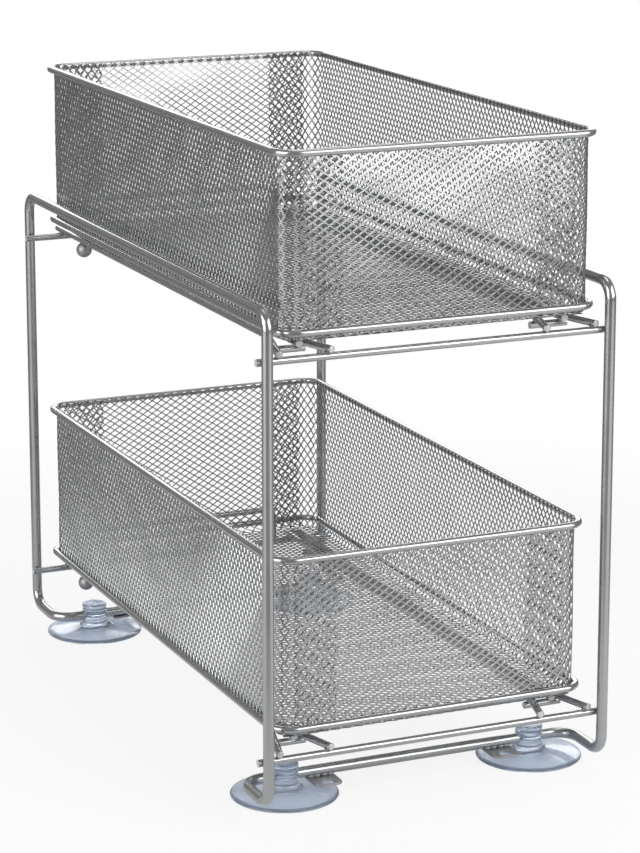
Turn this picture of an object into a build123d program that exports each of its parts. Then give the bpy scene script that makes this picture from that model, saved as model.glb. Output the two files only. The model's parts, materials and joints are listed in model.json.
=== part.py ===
from build123d import *

import os

# Two-tier pull-out basket for a cupboard shelf: a wire frame on suction cups, and two mesh baskets
# whose runners slide in grooves between pairs of rails. Millimetres, +Z up, the front towards -Y,
# origin on the floor under the middle of the frame.

# ---- frame: one loop of thick wire, as two halves butt-welded in the middle of the base bars
FRAME_WIRE = 6.0
POST_SPACING_Y = 382.0  # between the centres of the front and rear posts
SIDE_CLEARANCE = 3.0  # between the posts and the rims
TOP_RAIL_RISE = 26.2  # from the upper cross bars' centres to the top rails'
BASE_BAR_Z = 10.5
FOOT_RUN = 38.0  # from a post inwards to the base bar
FRAME_BEND = 10.0  # centreline radius where a post meets the top rail or its foot
BASE_CORNER = 12.0  # centreline radius where a foot turns into the base bar

# ---- thin wire: cross bars, rails, tie bars, stop loops, runners and basket rims
WIRE = 4.0
CROSS_BAR_OVERHANG = 1.2  # past the outside of the posts
LOWER_BAR_Z = 32.8  # centre height of the lower cross bars
TIER_PITCH = 215.0

# ---- rails: two wires beside each other make the groove that a runner lies in
GROOVE_INSET = 14.0  # from a rim's centreline in to the middle of a groove
RAIL_SPACING = 5.6  # between the centres of the two rails of a groove
RAIL_FRONT = 3.0  # rail ends, ahead of the front cross bar's centre
RAIL_REAR = 7.0  # rail ends, behind the rear cross bar's centre
FLARE_SPREAD = 12.0  # each front end moves this far away from the groove
FLARE_LENGTH = 20.0
FLARE_BEND = 14.0
TIE_BAR_LENGTH = 22.0
TIE_BAR_INSET = 24.0  # behind the front cross bar's centre

# ---- stop loops at the rear
LOOP_HALF_WIDTH = 64.0
LOOP_HEIGHT = 21.0  # above the centre of the cross bar
LOOP_BEND = 6.0

# ---- screw tabs under the base bars
TAB_X = 53.5
TAB_WIDTH = 16.0
TAB_THICKNESS = 1.2
TAB_REACH = 15.5  # from the base bar's centre to the tab's free edge
TAB_TAIL = 2.5  # from the base bar's centre to the tab's welded edge
TAB_CORNER = 4.0
TAB_HOLE = 7.0
TAB_HOLE_REACH = 10.7  # from the base bar's centre to the hole's

# ---- suction cups on the base bars
CUP_X = 74.0
CUP_RADIUS = 29.5
CUP_LIP = 1.0  # thickness at the edge
CUP_CONTACT = 2.5  # width of the flat ring on the floor
CUP_HOLLOW = 2.4
CUP_FOOT_RADIUS = 9.5  # where the stem's skirt meets the disc
CUP_FOOT_Z = 4.6
CUP_STEM_RADIUS = 7.0
CUP_SKIRT_Z = 9.6  # top of the skirt
CUP_RIB = 0.8  # radius of the stem's ribs
CUP_RIBS = 2
CUP_RIB_PITCH = 2.5
CUP_CAP_RADIUS = 7.6
CUP_CAP_Z = 14.4  # underside of the cap
CUP_CAP_HEIGHT = 3.6
CUP_CAP_DOME = 1.6  # height of the cap's rounded top
CUP_BORE_CLEARANCE = 0.05  # round the base bar

# ---- baskets
BASKET_LENGTH = 369.4  # between the centres of the front and rear of a rim
RIM_HALF_WIDTH = 91.0
RIM_CORNER = 12.0  # centreline radius
RIM_GAP = 92.5  # between the centres of the top and bottom rims
FLOOR_HANG = 5.5  # from the floor's underside up to the bottom rim's centre
MESH_THICKNESS = 1.0
MESH_LIP = 0.8  # the mesh ends this far above the top rim's centre
MESH_FOLD = 5.0  # outside radius where the walls turn into the floor
RUNNER_INSET = 10.0  # from a rim's centreline to the runner's end
RUNNER_CLEARANCE = 0.05  # between a runner and its rails
REAR_CLEARANCE = 0.3  # between the bottom rim and the stop loop, basket closed
UPPER_REST = 7.3  # the upper basket rests this far in front of closed
LOWER_REST = 0.0

# The tray is one sheet of expanded mesh, so its diamonds lie across the floor and the end walls,
# and stand upright on the side walls. The real ones measure 6.7 by 4.5 mm. Here they are coarser.
MESH_STRAND = 4.0
MESH_MARGIN = 3.0  # unbroken edge round each field of openings
SIDE_COLUMNS = 12
SIDE_ROWS = 2
END_COLUMNS = 5
END_ROWS = 4
FLOOR_COLUMNS = 3
FLOOR_ROWS = 10

# ---- stop buttons under the runners
BUTTON_DIAMETER = 9.5
BUTTON_GAP = 0.25  # between the button and the underside of the rails
BUTTON_REAR = 26.2  # in front of the rim's rear centreline
NECK_THICKNESS = 1.2
NECK_LENGTH = 6.0
NECK_BITE = 0.6  # how far the neck reaches into the ball

# ---- worked out from the sizes above
post_x = RIM_HALF_WIDTH + WIRE / 2 + SIDE_CLEARANCE + FRAME_WIRE / 2
post_y = POST_SPACING_Y / 2
base_bar_y = post_y - FOOT_RUN
cross_bar_y = post_y - (FRAME_WIRE + WIRE) / 2  # the bars lie against the inside of the posts
cross_bar_half = post_x + FRAME_WIRE / 2 + CROSS_BAR_OVERHANG
bar_levels = {"lower": LOWER_BAR_Z, "upper": LOWER_BAR_Z + TIER_PITCH}
top_rail_z = bar_levels["upper"] + TOP_RAIL_RISE
groove_x = RIM_HALF_WIDTH - GROOVE_INSET
runner_rise = ((WIRE + RUNNER_CLEARANCE) ** 2 - (RAIL_SPACING / 2) ** 2) ** 0.5
floor_rise = WIRE + runner_rise + WIRE / 2  # from a cross bar's centre to a basket's underside
loop_y = cross_bar_y + WIRE  # the loops stand against the back of the rear bars
closed_rear = loop_y - WIRE / 2 - REAR_CLEARANCE - WIRE / 2
closed_middle = closed_rear - BASKET_LENGTH / 2
rest_middles = {"lower": closed_middle - LOWER_REST, "upper": closed_middle - UPPER_REST}
tray_x = RIM_HALF_WIDTH - WIRE / 2  # the mesh lies against the inside of the rims
tray_y = BASKET_LENGTH / 2 - WIRE / 2
tray_corner = RIM_CORNER - WIRE / 2
tray_height = FLOOR_HANG + RIM_GAP + MESH_LIP


def finish(piece, label):
    """Names a finished piece and writes it."""
    piece.label = label
    export_step(piece, f"parts/{label}.step")


def bent_wire(points, radii, diameter, label):
    """A wire along straight runs and round bends."""
    with BuildPart() as wire:
        with BuildLine() as route:
            FilletPolyline(*points, radius=radii)
        with BuildSketch(Plane(origin=route.line @ 0, z_dir=route.line % 0)):
            Circle(diameter / 2)
        sweep()
    finish(wire.part, label)


def frame_wire(side, label):
    """Half of the frame loop, from the middle of the front base bar to the middle of the rear one."""
    x = side * post_x
    front = [(0, -base_bar_y, BASE_BAR_Z), (x, -base_bar_y, BASE_BAR_Z), (x, -post_y, BASE_BAR_Z)]
    top = [(x, -post_y, top_rail_z), (x, post_y, top_rail_z)]
    rear = [(x, post_y, BASE_BAR_Z), (x, base_bar_y, BASE_BAR_Z), (0, base_bar_y, BASE_BAR_Z)]
    bends = [BASE_CORNER, FRAME_BEND, FRAME_BEND, FRAME_BEND, FRAME_BEND, BASE_CORNER]
    bent_wire(front + top + rear, bends, FRAME_WIRE, label)


def cross_bar(y, z, label):
    """A straight bar welded across two posts."""
    with BuildPart() as bar:
        with BuildSketch(Plane.YZ.offset(-cross_bar_half)):
            with Locations((y, z)):
                Circle(WIRE / 2)
        extrude(amount=2 * cross_bar_half)
    finish(bar.part, label)


def rail(side, outward, bar_z, label):
    """A rail on top of the cross bars, whose front end bends away from its groove."""
    z = bar_z + WIRE
    straight_x = side * (groove_x + outward * RAIL_SPACING / 2)
    front_x = straight_x + side * outward * FLARE_SPREAD
    front_y = -cross_bar_y - RAIL_FRONT
    points = [
        (front_x, front_y, z),
        (straight_x, front_y + FLARE_LENGTH, z),
        (straight_x, cross_bar_y + RAIL_REAR, z),
    ]
    bent_wire(points, FLARE_BEND, WIRE, label)


def tie_bar(side, bar_z, label):
    """A short bar under both rails of a groove, which also stops the basket's button."""
    with BuildPart() as tie:
        with BuildSketch(Plane.YZ.offset(side * groove_x - TIE_BAR_LENGTH / 2)):
            with Locations((-cross_bar_y + TIE_BAR_INSET, bar_z)):
                Circle(WIRE / 2)
        extrude(amount=TIE_BAR_LENGTH)
    finish(tie.part, label)


def stop_loop(bar_z, label):
    """A wire bent to an upside-down U behind the basket."""
    foot_z = bar_z - WIRE / 2
    top_z = bar_z + LOOP_HEIGHT
    points = [
        (-LOOP_HALF_WIDTH, loop_y, foot_z),
        (-LOOP_HALF_WIDTH, loop_y, top_z),
        (LOOP_HALF_WIDTH, loop_y, top_z),
        (LOOP_HALF_WIDTH, loop_y, foot_z),
    ]
    bent_wire(points, LOOP_BEND, WIRE, label)


def screw_tab(side, end, label):
    """A sheet tab under a base bar, reaching outwards past it."""
    top_z = BASE_BAR_Z - FRAME_WIRE / 2
    with BuildPart() as tab:
        with BuildSketch(Plane.XY.offset(top_z)):
            with Locations((side * TAB_X, end * (base_bar_y + (TAB_REACH - TAB_TAIL) / 2))):
                Rectangle(TAB_WIDTH, TAB_REACH + TAB_TAIL)
        extrude(amount=-TAB_THICKNESS)
        free_edge = tab.edges().filter_by(Axis.Z).sort_by(Axis.Y)
        fillet(free_edge[-2:] if end > 0 else free_edge[:2], TAB_CORNER)
        with Locations((side * TAB_X, end * (base_bar_y + TAB_HOLE_REACH), top_z)):
            Hole(TAB_HOLE / 2)
    finish(tab.part, label)


def suction_cup(side, end, label):
    """A soft cup with a ribbed stem that the base bar passes through."""
    x = side * CUP_X
    y = end * base_bar_y
    cap_top = CUP_CAP_Z + CUP_CAP_HEIGHT
    first_rib = CUP_SKIRT_Z + CUP_RIB
    ribs = [(CUP_STEM_RADIUS, first_rib + turn * CUP_RIB_PITCH) for turn in range(CUP_RIBS)]
    with BuildPart() as cup:
        with BuildSketch(Plane.XZ.offset(-y).shift_origin((x, y, 0))):
            with BuildLine():
                Polyline(
                    (0, CUP_HOLLOW),
                    (CUP_FOOT_RADIUS, CUP_HOLLOW),
                    (CUP_RADIUS - CUP_CONTACT, 0),
                    (CUP_RADIUS, 0),
                    (CUP_RADIUS, CUP_LIP),
                    (CUP_FOOT_RADIUS, CUP_FOOT_Z),
                    (CUP_STEM_RADIUS, CUP_SKIRT_Z),
                    (CUP_STEM_RADIUS, CUP_CAP_Z),
                    (CUP_CAP_RADIUS, CUP_CAP_Z),
                    (CUP_CAP_RADIUS, cap_top - CUP_CAP_DOME),
                    (CUP_CAP_RADIUS - CUP_CAP_DOME, cap_top),
                    (0, cap_top),
                    close=True,
                )
            make_face()
            with Locations(*ribs):
                RegularPolygon(CUP_RIB, 6)
        revolve(axis=Axis((x, y, 0), (0, 0, 1)))
        with BuildSketch(Plane.YZ.offset(x)):
            with Locations((y, BASE_BAR_Z)):
                Circle(FRAME_WIRE / 2 + CUP_BORE_CLEARANCE)
        extrude(amount=CUP_FOOT_RADIUS, both=True, mode=Mode.SUBTRACT)
    finish(cup.part, label)


def diamonds(length, height, columns, rows):
    """A field of staggered diamond openings, halved where they meet the field's outline."""
    pitch_x = length / columns
    pitch_y = height / rows
    half_x = (pitch_x - MESH_STRAND) / 2
    half_y = (pitch_y - MESH_STRAND) / 2
    corners = [(half_x, 0), (0, half_y), (-half_x, 0), (0, -half_y)]
    with GridLocations(pitch_x, pitch_y, columns, rows):
        Polygon(*corners)
    with GridLocations(pitch_x, pitch_y, columns + 1, rows + 1):
        Polygon(*corners)
    Rectangle(length, height, mode=Mode.INTERSECT)


def mesh_tray(floor_z, middle_y, label):
    """Walls and floor of a basket, formed from one sheet of expanded mesh."""
    field_z = floor_z + (MESH_FOLD + tray_height) / 2
    field_height = tray_height - MESH_FOLD - 2 * MESH_MARGIN
    side_length = 2 * (tray_y - tray_corner - MESH_MARGIN)
    end_length = 2 * (tray_x - tray_corner - MESH_MARGIN)
    with BuildPart() as tray:
        with BuildSketch(Plane.XY.offset(floor_z)):
            with Locations((0, middle_y)):
                RectangleRounded(2 * tray_x, 2 * tray_y, tray_corner)
        extrude(amount=tray_height)
        fillet(tray.faces().sort_by(Axis.Z)[0].edges(), MESH_FOLD)
        offset(amount=-MESH_THICKNESS, openings=tray.faces().sort_by(Axis.Z)[-1])
        with BuildSketch(Plane.YZ):
            with Locations((middle_y, field_z)):
                diamonds(side_length, field_height, SIDE_COLUMNS, SIDE_ROWS)
        extrude(amount=2 * tray_x, both=True, mode=Mode.SUBTRACT)
        with BuildSketch(Plane.XZ.offset(-middle_y)):
            with Locations((0, field_z)):
                diamonds(end_length, field_height, END_COLUMNS, END_ROWS)
        extrude(amount=2 * tray_y, both=True, mode=Mode.SUBTRACT)
        with BuildSketch(Plane.XY.offset(floor_z)):
            with Locations((0, middle_y)):
                diamonds(end_length, side_length, FLOOR_COLUMNS, FLOOR_ROWS)
        extrude(amount=MESH_THICKNESS, mode=Mode.SUBTRACT)
    finish(tray.part, label)


def rim(middle_y, z, label):
    """A closed ring of wire round the mesh, made as a half and its mirror image."""
    front_y = middle_y - BASKET_LENGTH / 2
    rear_y = middle_y + BASKET_LENGTH / 2
    with BuildPart() as ring:
        with BuildLine() as half:
            FilletPolyline(
                (0, front_y, z),
                (RIM_HALF_WIDTH, front_y, z),
                (RIM_HALF_WIDTH, rear_y, z),
                (0, rear_y, z),
                radius=RIM_CORNER,
            )
        with BuildSketch(Plane(origin=half.line @ 0, z_dir=half.line % 0)):
            Circle(WIRE / 2)
        sweep()
        mirror(about=Plane.YZ)
    finish(ring.part, label)


def runner(side, middle_y, z, label):
    """A straight wire under the floor, which slides in the groove."""
    length = BASKET_LENGTH - 2 * RUNNER_INSET
    with BuildPart() as wire:
        with BuildSketch(Plane.XZ.offset(-middle_y)):
            with Locations((side * groove_x, z)):
                Circle(WIRE / 2)
        extrude(amount=length / 2, both=True)
    finish(wire.part, label)


def stop_button(side, middle_y, rail_z, runner_z, label):
    """A ball below the rails, on a thin neck that passes between them up to the runner."""
    x = side * groove_x
    y = middle_y + BASKET_LENGTH / 2 - BUTTON_REAR
    ball_top = rail_z - WIRE / 2 - BUTTON_GAP
    neck_foot = ball_top - NECK_BITE
    neck_top = runner_z - WIRE / 2
    with BuildPart() as button:
        with Locations((x, y, ball_top - BUTTON_DIAMETER / 2)):
            Sphere(BUTTON_DIAMETER / 2)
        with BuildSketch(Plane.XY.offset(neck_foot)):
            with Locations((x, y)):
                Rectangle(NECK_THICKNESS, NECK_LENGTH)
        extrude(amount=neck_top - neck_foot)
    finish(button.part, label)


os.makedirs("parts", exist_ok=True)

sides = {"left": -1, "right": 1}
ends = {"front": -1, "rear": 1}

for side_name, side in sides.items():
    frame_wire(side, f"{side_name}_frame_wire")
    for end_name, end in ends.items():
        screw_tab(side, end, f"{end_name}_{side_name}_screw_tab")
        suction_cup(side, end, f"{end_name}_{side_name}_suction_cup")

for tier, bar_z in bar_levels.items():
    for end_name, end in ends.items():
        cross_bar(end * cross_bar_y, bar_z, f"{tier}_{end_name}_cross_bar")
    stop_loop(bar_z, f"{tier}_stop_loop")
    for side_name, side in sides.items():
        rail(side, 1, bar_z, f"{tier}_{side_name}_outer_rail")
        rail(side, -1, bar_z, f"{tier}_{side_name}_inner_rail")
        tie_bar(side, bar_z, f"{tier}_{side_name}_tie_bar")

for tier, bar_z in bar_levels.items():
    middle_y = rest_middles[tier]
    floor_z = bar_z + floor_rise
    rail_z = bar_z + WIRE
    runner_z = rail_z + runner_rise
    mesh_tray(floor_z, middle_y, f"{tier}_mesh_tray")
    rim(middle_y, floor_z + FLOOR_HANG, f"{tier}_bottom_rim")
    rim(middle_y, floor_z + FLOOR_HANG + RIM_GAP, f"{tier}_top_rim")
    for side_name, side in sides.items():
        runner(side, middle_y, runner_z, f"{tier}_{side_name}_runner")
        stop_button(side, middle_y, rail_z, runner_z, f"{tier}_{side_name}_stop_button")
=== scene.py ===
import json
import math

import bpy
import numpy as np
from bpy.props import FloatProperty, FloatVectorProperty, IntProperty, PointerProperty
from mathutils import Matrix, Vector


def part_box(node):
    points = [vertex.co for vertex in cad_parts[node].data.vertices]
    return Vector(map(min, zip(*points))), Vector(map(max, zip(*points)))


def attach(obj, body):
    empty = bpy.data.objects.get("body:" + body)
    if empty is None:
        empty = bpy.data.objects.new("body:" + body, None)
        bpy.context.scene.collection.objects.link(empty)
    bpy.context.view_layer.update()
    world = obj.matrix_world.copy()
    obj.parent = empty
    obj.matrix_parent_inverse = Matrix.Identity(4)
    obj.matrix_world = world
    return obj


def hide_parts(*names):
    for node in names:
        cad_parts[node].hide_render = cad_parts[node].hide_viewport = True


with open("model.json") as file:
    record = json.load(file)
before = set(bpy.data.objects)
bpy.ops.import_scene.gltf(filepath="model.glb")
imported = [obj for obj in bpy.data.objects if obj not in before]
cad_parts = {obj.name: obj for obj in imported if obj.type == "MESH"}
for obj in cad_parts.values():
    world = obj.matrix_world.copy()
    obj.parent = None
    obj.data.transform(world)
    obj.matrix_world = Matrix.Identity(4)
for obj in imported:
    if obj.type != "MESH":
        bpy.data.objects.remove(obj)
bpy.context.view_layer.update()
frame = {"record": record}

# Dresses a two-tier pull-out cupboard basket: a bent wire frame on clear suction cups, and two
# baskets of expanded steel mesh in wire rims, which slide on pairs of rails. Metres, +Z up, the
# front towards -Y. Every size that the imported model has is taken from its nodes.

bl_info = {
    "name": "Two-Tier Pull-Out Basket",
    "version": (1, 0, 0),
    "blender": (4, 5, 0),
    "location": "View3D > Sidebar > Basket",
    "description": "Dresses a packed two-tier pull-out cupboard basket",
    "category": "Object",
}

MM = 0.001
SEAM = 2e-6  # vertices nearer than this are one
SMOOTH_ANGLE = math.radians(35)
HOLE_STEPS = 40  # round a punched or bored hole
TIERS = ("lower", "upper")
SIDES = {"left": -1, "right": 1}
ENDS = {"front": -1, "rear": 1}

# The mirroring in X and in Y that makes the other three corners' pieces from the front right one.
CORNERS = {"front_left": (-1, 1), "rear_left": (-1, -1), "rear_right": (1, -1)}

record = frame["record"]
body_of = {node: body for body, nodes in record["behaviour"]["bodies"].items() for node in nodes}


def middle(node):
    """The middle of a node's box."""
    low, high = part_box(node)
    return (low + high) / 2


def extent(node):
    """The size of a node's box."""
    low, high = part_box(node)
    return high - low


# ---- settings

def size(name, description, millimetres):
    """A length that the user may change."""
    return FloatProperty(
        name=name,
        description=description,
        default=millimetres * MM,
        min=0.0,
        precision=5,
        subtype="DISTANCE",
        unit="LENGTH",
    )


def share(name, description, default, highest=1.0):
    """A plain number that the user may change."""
    return FloatProperty(name=name, description=description, default=default, min=0.0, max=highest)


def linear(code):
    """Linear RGBA of an sRGB hex colour."""
    levels = [int(code[place : place + 2], 16) / 255 for place in (1, 3, 5)]
    return [v / 12.92 if v <= 0.04045 else ((v + 0.055) / 1.055) ** 2.4 for v in levels] + [1.0]


def colour(name, description, code):
    """A colour that the user may change."""
    return FloatVectorProperty(
        name=name,
        description=description,
        default=linear(code),
        size=4,
        min=0.0,
        max=1.0,
        subtype="COLOR",
    )


class BasketWireSizes(bpy.types.PropertyGroup):
    frame_wire: size("Frame wire", "Diameter of the frame's wire", 6.0)
    thin_wire: size("Thin wire", "Diameter of bars, rails and rims", 4.0)
    frame_bend: size("Frame bend", "Bend where a post meets a top rail or a foot", 10.0)
    base_corner: size("Base corner", "Bend where a foot turns into a base bar", 12.0)
    rim_corner: size("Rim corner", "Bend at the corners of a rim", 12.0)
    rail_spacing: size("Rail spacing", "Between the middles of the two rails of a groove", 5.6)
    rail_front: size("Rail front", "Rail ends, ahead of the front cross bar", 3.0)
    flare_spread: size("Flare spread", "How far a rail's front end moves off its groove", 12.0)
    flare_length: size("Flare length", "Length of a rail's bent front end", 44.0)
    flare_bend: size("Flare bend", "Bend where a rail leaves its groove", 60.0)
    loop_bend: size("Loop bend", "Bend at the corners of a stop loop", 6.0)
    burr: size("Burr", "Rounding at the edge of a sheared end", 0.45)
    bead: size("Weld bead", "Radius of a weld bead between two wires", 1.5)
    sides: IntProperty(name="Sides", description="Sides of a wire's section", default=24, min=8)


class BasketMeshSizes(bpy.types.PropertyGroup):
    long_way: size("Long way", "Diamond length on the side walls", 6.7)
    strand: size("Strand", "Width of a strand, seen from the front", 0.78)
    thickness: size("Thickness", "Thickness of the sheet", 0.5)
    side_tilt: size("Side tilt", "How far a side wall's strands stand out of their sheet", 0.22)
    floor_tilt: size("Floor tilt", "How far the strands of the floor and ends stand out", 0.11)
    fold: size("Fold", "Radius where a wall turns into the floor", 3.2)
    end_share: share("End share", "Width of an end wall's sheet, against the floor's", 0.93)
    bulge: size("Bulge", "How far the walls bow outwards", 0.9)
    lap: size("Lap", "How far behind an end wall the side wall's flap lies", 1.15)
    wave: size("Wave", "Unevenness of the sheet", 0.18)
    across: IntProperty(name="Across", description="Diamonds across the floor", default=25, min=4)
    along: IntProperty(name="Along", description="Diamonds along the floor", default=78, min=4)
    end_rows: IntProperty(name="End rows", description="Diamonds up an end wall", default=24, min=4)
    flap: IntProperty(name="Flap", description="Diamonds round each corner", default=7, min=1)


class BasketCupSizes(bpy.types.PropertyGroup):
    steps: IntProperty(name="Steps", description="Steps round a cup", default=72, min=24)
    clearance: size("Clearance", "Round the wire in the stem", 0.05)
    bore: size("Bore", "Length of the tool that bores the stem", 24.0)


class BasketTabSizes(bpy.types.PropertyGroup):
    corner: size("Corner", "Rounding of a tab's free corners", 4.0)
    hole: size("Hole", "Diameter of a tab's screw hole", 7.0)
    hole_reach: size("Hole reach", "From the base bar's middle to the hole's", 10.7)
    edge: size("Edge", "Rounding of a tab's edges", 0.2)
    neck_width: size("Neck width", "Width of a button's neck", 6.0)
    neck_thickness: size("Neck thickness", "Thickness of a button's neck", 1.2)


class BasketFinishes(bpy.types.PropertyGroup):
    wire: colour("Wire", "Silver lacquer on the wires", "#B4B5B6")
    mesh: colour("Mesh", "Silver lacquer on the mesh", "#AEAFB0")
    cut: colour("Cut ends", "Bare steel at the sheared ends", "#E4E4E3")
    zinc: colour("Zinc", "Zinc on the tabs", "#B4B5B7")
    weld: colour("Weld", "Weld metal under lacquer", "#A9AAAC")
    vinyl: colour("Vinyl", "Clear vinyl of the cups", "#C6D1E1")
    floor: colour("Floor", "Paper under the basket", "#F2F2F2")
    floor_beyond: colour("Floor beyond", "Studio floor round the paper", "#A2A2A2")
    wire_gloss: share("Wire roughness", "Roughness of the wires' lacquer", 0.2)
    mesh_gloss: share("Mesh roughness", "Roughness of the mesh's lacquer", 0.2)


class BasketStage(bpy.types.PropertyGroup):
    key: share("Key", "Power of the lamp at the front right, in watts", 29.0, 500.0)
    fill: share("Fill", "Power of the lamp at the left, in watts", 36.0, 500.0)
    top: share("Top", "Power of the lamp overhead, in watts", 6.0, 500.0)
    rear: share("Rear", "Power of the lamp behind, in watts", 16.0, 500.0)
    around: share("Around", "Grey level of the surroundings", 0.22)
    mirrored: share("Mirrored", "Share of the white background that gloss shows", 0.12)
    lens: FloatProperty(
        name="Lens", description="Focal length of the camera", default=124.968, unit="CAMERA"
    )


# ---- finishes

PATCH = 14 * MM  # across a patch of thicker or thinner lacquer
FLAKE = 0.5 * MM  # across a speck of flake, coarser than the real ones so that it shows
RIPPLE = 5 * MM  # between the ripples that the mould leaves in the vinyl

# A map range node's inputs, for the values that stand in this order.
SPAN = ("Value", "From Min", "From Max", "To Min", "To Max")


def add_node(tree, kind, inputs=None, **settings):
    """Adds a node. Inputs are values or sockets to link, settings are the node's own."""
    node = tree.nodes.new(kind)
    for name, value in settings.items():
        setattr(node, name, value)
    for name, value in (inputs or {}).items():
        if isinstance(value, bpy.types.NodeSocket):
            tree.links.new(value, node.inputs[name])
        else:
            node.inputs[name].default_value = value
    return node


def painted(name, lay_out, *looks):
    """A material whose surface lay_out makes, from the place on the object."""
    material = bpy.data.materials.new(name)
    material.use_nodes = True
    tree = material.node_tree
    tree.nodes.clear()
    place = add_node(tree, "ShaderNodeTexCoord").outputs["Object"]
    surface = lay_out(tree, place, *looks)
    add_node(tree, "ShaderNodeOutputMaterial", {"Surface": surface})
    return material


def lacquered_steel(tree, place, base, roughness, grain, depth, speckle):
    """Silver lacquer over steel: aluminium flake in clear resin.

    The flake makes it mirror softly like a metal, the resin leaves a fine orange peel, and
    specks of dust and flake break the highlights up.
    """
    peel = add_node(
        tree, "ShaderNodeTexNoise", {"Vector": place, "Scale": 1 / grain, "Detail": 3.0}
    )
    patches = add_node(
        tree, "ShaderNodeTexNoise", {"Vector": place, "Scale": 1 / PATCH, "Detail": 4.0}
    ).outputs["Fac"]
    flake = add_node(tree, "ShaderNodeTexVoronoi", {"Vector": place, "Scale": 1 / FLAKE})
    flakes = (flake.outputs["Color"], 0, 1, -speckle, speckle)
    sparkle = add_node(tree, "ShaderNodeMapRange", dict(zip(SPAN, flakes))).outputs["Result"]
    clouds = (patches, 0.3, 0.7, roughness - 0.04, roughness + 0.05)
    uneven = add_node(tree, "ShaderNodeMapRange", dict(zip(SPAN, clouds))).outputs["Result"]
    rough = add_node(tree, "ShaderNodeMath", {0: uneven, 1: sparkle}, operation="ADD")
    darker = [level * 0.86 for level in base[:3]] + [1.0]
    tint = add_node(
        tree, "ShaderNodeMix", {"Factor": patches, 6: darker, 7: base[:]}, data_type="RGBA"
    )
    peeled = {"Height": peel.outputs["Fac"], "Strength": 0.6, "Distance": depth}
    bump = add_node(tree, "ShaderNodeBump", peeled)
    return add_node(
        tree,
        "ShaderNodeBsdfPrincipled",
        {
            "Base Color": tint.outputs[2],
            "Metallic": 0.92,
            "Roughness": rough.outputs["Value"],
            "Normal": bump.outputs["Normal"],
            "Coat Weight": 0.25,
            "Coat Roughness": 0.12,
        },
    ).outputs["BSDF"]


def bare_steel(tree, place, base, metallic, roughness, scratch, depth):
    """Steel that shows its working: pale and torn where it was sheared, cloudy where it was plated,
    and lumpy where it was welded."""
    torn = add_node(
        tree,
        "ShaderNodeTexNoise",
        {"Vector": place, "Scale": 1 / scratch, "Detail": 5.0, "Roughness": 0.7},
    ).outputs["Fac"]
    shades = (torn, 0.3, 0.75, roughness + 0.15, roughness)
    shade = add_node(tree, "ShaderNodeMapRange", dict(zip(SPAN, shades)))
    darker = [level * 0.7 for level in base[:3]] + [1.0]
    tint = add_node(
        tree, "ShaderNodeMix", {"Factor": torn, 6: darker, 7: base[:]}, data_type="RGBA"
    )
    bump = add_node(tree, "ShaderNodeBump", {"Height": torn, "Strength": 0.7, "Distance": depth})
    return add_node(
        tree,
        "ShaderNodeBsdfPrincipled",
        {
            "Base Color": tint.outputs[2],
            "Metallic": metallic,
            "Roughness": shade.outputs["Result"],
            "Normal": bump.outputs["Normal"],
        },
    ).outputs["BSDF"]


def moulded_vinyl(tree, place, base):
    """Soft clear PVC, moulded: bluish where it is thick, with a faint ripple from the mould."""
    ripple = add_node(
        tree, "ShaderNodeTexNoise", {"Vector": place, "Scale": 1 / RIPPLE, "Detail": 2.0}
    ).outputs["Fac"]
    haze = add_node(tree, "ShaderNodeMapRange", dict(zip(SPAN, (ripple, 0.3, 0.7, 0.1, 0.2))))
    bump = add_node(
        tree, "ShaderNodeBump", {"Height": ripple, "Strength": 0.5, "Distance": 0.08 * MM}
    )
    return add_node(
        tree,
        "ShaderNodeBsdfPrincipled",
        {
            "Base Color": base[:],
            "Roughness": haze.outputs["Result"],
            "IOR": 1.53,
            "Transmission Weight": 0.85,
            "Normal": bump.outputs["Normal"],
        },
    ).outputs["BSDF"]


def finish(name):
    """A material of the basket, made the first time that it is asked for."""
    known = bpy.data.materials.get(name)
    if known:
        return known
    own = bpy.context.scene.basket_finishes
    looks = {
        "silver_lacquered_wire": (
            lacquered_steel, own.wire, own.wire_gloss, 0.9 * MM, 0.05 * MM, 0.03
        ),
        "silver_lacquered_expanded_steel": (
            lacquered_steel, own.mesh, own.mesh_gloss, 0.5 * MM, 0.04 * MM, 0.06
        ),
        "sheared_steel_end": (bare_steel, own.cut, 0.55, 0.45, 0.6 * MM, 0.12 * MM),
        "zinc_plated_sheet_steel": (bare_steel, own.zinc, 0.85, 0.32, 2.5 * MM, 0.03 * MM),
        "lacquered_weld_metal": (bare_steel, own.weld, 0.85, 0.38, 0.8 * MM, 0.15 * MM),
        "clear_soft_vinyl": (moulded_vinyl, own.vinyl),
    }
    return painted(name, *looks[name])


# ---- modelling

def choose(piece):
    """Makes this piece the only one that is selected."""
    bpy.ops.object.select_all(action="DESELECT")
    piece.select_set(True)
    bpy.context.view_layer.objects.active = piece


def open_piece(name):
    """Starts an empty piece at the origin and opens it in edit mode."""
    piece = bpy.data.objects.new(name, bpy.data.meshes.new(name))
    bpy.context.scene.collection.objects.link(piece)
    choose(piece)
    bpy.ops.object.mode_set(mode="EDIT")
    bpy.ops.mesh.select_mode(type="VERT")
    return piece


def close_piece(*materials):
    """Merges doubles, turns the faces outwards, shades them and adds the finishes."""
    bpy.ops.mesh.select_all(action="SELECT")
    bpy.ops.mesh.remove_doubles(threshold=SEAM)
    bpy.ops.mesh.normals_make_consistent(inside=False)
    bpy.ops.object.mode_set(mode="OBJECT")
    bpy.ops.object.shade_smooth_by_angle(angle=SMOOTH_ANGLE)
    for material in materials:
        bpy.context.active_object.data.materials.append(finish(material))


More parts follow.
